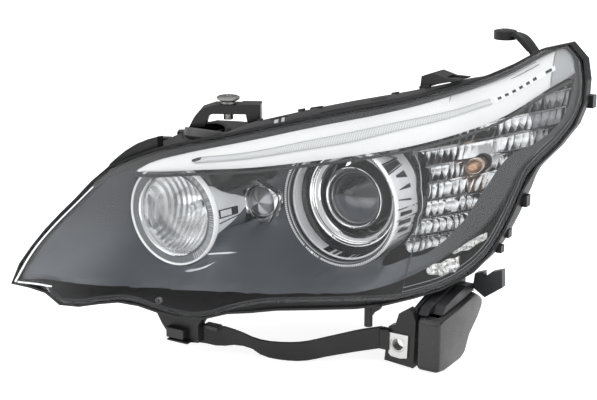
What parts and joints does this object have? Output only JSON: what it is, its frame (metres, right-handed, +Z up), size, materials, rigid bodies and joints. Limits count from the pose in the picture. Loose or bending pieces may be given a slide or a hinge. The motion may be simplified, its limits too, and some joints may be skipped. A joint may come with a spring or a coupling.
{
  "type": "car headlight assembly",
  "caption": "Left car headlight: clear swept cover over a swivelling low-beam projector, high beam, cornering lamp, turn signal and silver light brow in a black housing with brackets.",
  "frame": {"origin": "flat top of the upper bridge bracket, beside the height-adjusting bolt", "axes": "+X outwards to the car's side, +Y backwards into the car (light leaves along -Y), +Z up and square to the bridge's top face"},
  "size_m": [0.5581, 0.4761, 0.3686],
  "materials": {
    "black_plastic": "fine-grained black",
    "anthracite_plastic": "satin anthracite",
    "satin_silver": "satin silver paint",
    "chrome": "vacuum-metallised",
    "clear_cover": "clear, hard-coated",
    "light_guide": "frosted clear",
    "glass": "clear",
    "steel": "zinc-plated",
    "rubber": "matte",
    "aluminium": "die-cast",
    "amber_glass": "amber-coated"
  },
  "bodies": {
    "lamp_body": {"housing": "black_plastic", "outer_lens": "clear_cover", "lens_seal": "rubber", "bezel": "anthracite_plastic", "brow_trim": "satin_silver", "brow_end_cap": "satin_silver", "brow_light_guide": "light_guide", "brow_led_strip": "aluminium", "brow_lower_lip": "black_plastic", "high_beam_ring": "light_guide", "high_beam_drum": "chrome", "high_beam_lens": "glass", "high_beam_reflector": "chrome", "high_beam_bulb": "glass", "cornering_lamp_cup": "chrome", "cornering_lamp_lens": "glass", "low_beam_ring": "light_guide", "low_beam_drum": "chrome", "low_beam_shroud": "anthracite_plastic", "low_beam_trim_ring": "chrome", "carrier_bracket_inner": "black_plastic", "carrier_bracket_outer": "black_plastic", "levelling_motor": "black_plastic", "turn_reflector": "chrome", "side_marker_reflector": "light_guide", "upper_bridge_bracket": "black_plastic", "hood_stop_socket": "black_plastic", "upper_mid_bracket": "black_plastic", "upper_outer_bracket": "black_plastic", "arm_bushing": "steel", "lower_strap": "black_plastic", "lower_outer_bracket": "black_plastic", "nut_plate": "steel", "bracket_shield": "black_plastic", "bracket_link": "black_plastic", "side_clip": "black_plastic", "main_connector": "black_plastic", "vent_cap": "rubber", "ballast": "aluminium"},
    "carrier": {"projector_carrier": "aluminium", "swivel_motor": "black_plastic"},
    "projector": {"projector_lens_holder": "aluminium", "projector_lens": "glass", "projector_reflector": "aluminium", "xenon_bulb": "glass", "shutter_solenoid": "steel"},
    "shutter": {"cutoff_shutter": "black_plastic"},
    "plunger": {"solenoid_plunger": "steel"},
    "level_rod": {"levelling_rod": "steel"},
    "xenon_seal": {"xenon_cover_seal": "rubber"},
    "xenon_cap": {"xenon_cover": "black_plastic"},
    "high_beam_seal": {"high_beam_cover_seal": "rubber"},
    "high_beam_cap": {"high_beam_cover": "black_plastic"},
    "turn_seal": {"turn_holder_seal": "rubber"},
    "turn_holder": {"turn_bulb_holder": "black_plastic", "turn_bulb": "amber_glass"},
    "vertical_screw": {"adjuster_screw_vertical": "steel"},
    "horizontal_screw": {"adjuster_screw_horizontal": "steel"},
    "height_bolt": {"height_adjust_bolt": "steel"}
  },
  "joints": [
    {"name": "carrier_tilt", "type": "hinge", "parent": "lamp_body", "child": "carrier", "pos_m": [0.105, 0.1145, -0.12], "axis": [1, 0, 0], "range_deg": [-2.5, 2.5]},
    {"name": "projector_swivel", "type": "hinge", "parent": "carrier", "child": "projector", "pos_m": [0.105, 0.1145, -0.12], "axis": [0, 0, 1], "range_deg": [-7, 7]},
    {"name": "shutter_flip", "type": "hinge", "parent": "projector", "child": "shutter", "pos_m": [0.105, 0.1091, -0.149], "axis": [1, 0, 0], "range_deg": [0, 35], "stiffness_Nm_per_rad": 0.004, "springref_deg": -17.19},
    {"name": "plunger_slide", "type": "slide", "parent": "projector", "child": "plunger", "axis": [0, 1, 0], "range_m": [0, 0.0135]},
    {"name": "levelling_slide", "type": "slide", "parent": "lamp_body", "child": "level_rod", "axis": [0, 1, 0], "range_m": [-0.0034, 0.0034]},
    {"name": "xenon_cover_pull", "type": "slide", "parent": "lamp_body", "child": "xenon_seal", "axis": [0, 1, 0], "range_m": [0, 0.09]},
    {"name": "xenon_cover_twist", "type": "hinge", "parent": "xenon_seal", "child": "xenon_cap", "pos_m": [0.105, 0.2605, -0.12], "axis": [0, 1, 0], "range_deg": [0, 30]},
    {"name": "high_beam_cover_pull", "type": "slide", "parent": "lamp_body", "child": "high_beam_seal", "axis": [0, 1, 0], "range_m": [0, 0.09]},
    {"name": "high_beam_cover_twist", "type": "hinge", "parent": "high_beam_seal", "child": "high_beam_cap", "pos_m": [-0.063, 0.1325, -0.131], "axis": [0, 1, 0], "range_deg": [0, 30]},
    {"name": "turn_holder_pull", "type": "slide", "parent": "lamp_body", "child": "turn_seal", "axis": [0, 1, 0], "range_m": [0, 0.08]},
    {"name": "turn_holder_twist", "type": "hinge", "parent": "turn_seal", "child": "turn_holder", "pos_m": [0.233, 0.1915, -0.078], "axis": [0, 1, 0], "range_deg": [0, 45]},
    {"name": "vertical_screw_turn", "type": "hinge", "parent": "lamp_body", "child": "vertical_screw", "pos_m": [0.03, 0.1445, -0.069], "axis": [0, 1, 0], "continuous": true},
    {"name": "horizontal_screw_turn", "type": "hinge", "parent": "lamp_body", "child": "horizontal_screw", "pos_m": [0.182, 0.2395, -0.065], "axis": [0, 1, 0], "continuous": true},
    {"name": "height_bolt_turn", "type": "hinge", "parent": "lamp_body", "child": "height_bolt", "pos_m": [-0.02153, -0.01138, 0], "axis": [0, 0, 1], "continuous": true}
  ],
  "couplings": [
    {"joint": "plunger_slide", "follows": "shutter_flip", "m_per_rad": 0.02},
    {"joint": "levelling_slide", "follows": "carrier_tilt", "m_per_rad": 0.069}
  ]
}
